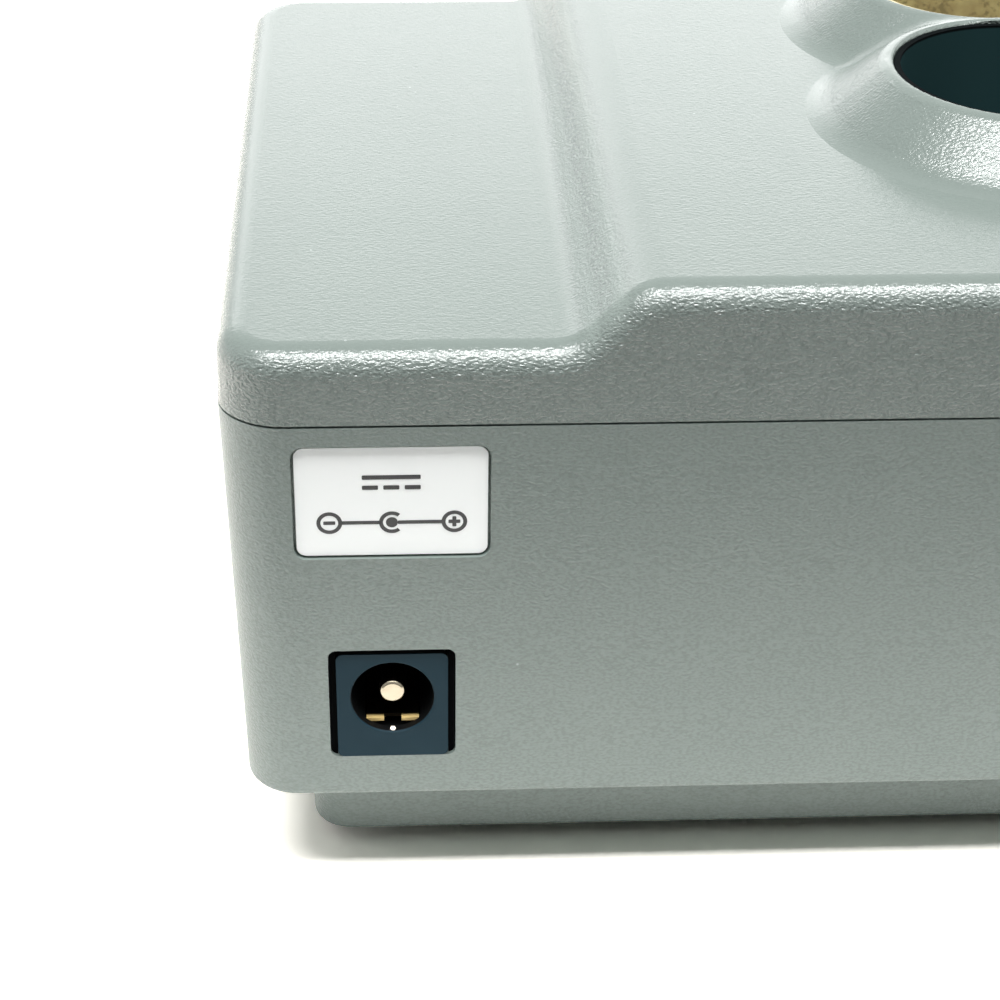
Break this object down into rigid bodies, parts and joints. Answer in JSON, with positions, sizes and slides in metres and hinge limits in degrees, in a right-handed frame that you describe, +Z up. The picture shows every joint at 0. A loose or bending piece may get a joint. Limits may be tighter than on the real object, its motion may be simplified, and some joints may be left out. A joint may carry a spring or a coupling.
{
  "type": "tube tester",
  "caption": "Compact bench tester for miniature radio tubes: two-part moulded case, crater-lipped socket wells on a hump, rear DC inlet, front selector, test button and rocker.",
  "frame": {"origin": "on the table, at the middle of the whole footprint with the knob included", "axes": "+X across to the right as seen from the front, +Y to the back with the power inlet, +Z up"},
  "size_m": [0.1322, 0.0916, 0.0592],
  "materials": {
    "shell_grey": "fine spark-eroded texture",
    "label_white": "satin",
    "black_plastic": "moulded",
    "phenolic_tan": "moulded phenolic",
    "rubber": "matt",
    "steel": "bright",
    "nickel": "plated",
    "gold": "plated",
    "board_green": "solder mask",
    "knob_black": "satin",
    "marker_white": "filled",
    "button_red": "gloss",
    "rocker_black": "gloss",
    "lamp_green": "translucent",
    "lamp_amber": "translucent",
    "lamp_red": "translucent",
    "copper": "enamelled wire",
    "ferrite": "sintered",
    "aluminium": "extruded",
    "can_blue": "sleeved",
    "ribbon_grey": "flat cable"
  },
  "bodies": {
    "case": {"lower_shell": "shell_grey", "upper_shell": "shell_grey", "rating_label": "label_white", "rubber_feet": "rubber", "case_screws": "steel", "main_board": "board_green", "board_screws": "steel", "dc_jack_body": "black_plastic", "dc_jack_pin": "nickel", "dc_jack_leaf": "gold", "socket_board": "board_green", "socket_screws": "steel", "noval_socket": "black_plastic", "noval_contacts": "gold", "miniature_socket": "phenolic_tan", "miniature_contacts": "nickel", "selector_switch": "steel", "selector_nut": "nickel", "test_switch": "black_plastic", "test_nut": "nickel", "test_spring": "steel", "power_switch": "black_plastic", "power_blades": "nickel", "led_block": "black_plastic", "led_bezels": "nickel", "led_green": "lamp_green", "led_amber": "lamp_amber", "led_red": "lamp_red", "transformer_core": "ferrite", "transformer_winding": "copper", "capacitors": "can_blue", "chips": "black_plastic", "heat_sink": "aluminium", "ribbon_headers": "black_plastic", "board_ribbon": "ribbon_grey"},
    "selector": {"selector_shaft": "aluminium", "selector_knob": "knob_black", "knob_pointer": "marker_white"},
    "test_button": {"test_plunger": "button_red"},
    "rocker": {"power_rocker": "rocker_black"}
  },
  "joints": [
    {"name": "selector_turn", "type": "hinge", "parent": "case", "child": "selector", "pos_m": [-0.036, -0.03053, 0.0269], "axis": [0, -1, 0], "range_deg": [-150, 150]},
    {"name": "test_press", "type": "slide", "parent": "case", "child": "test_button", "axis": [0, 1, 0], "range_m": [0, 0.0025], "stiffness_N_per_m": 600, "springref_m": -0.002, "deforming": ["test_spring"]},
    {"name": "power_rock", "type": "hinge", "parent": "case", "child": "rocker", "pos_m": [0.039, -0.02892, 0.0269], "axis": [1, 0, 0], "range_deg": [0, 16]}
  ]
}
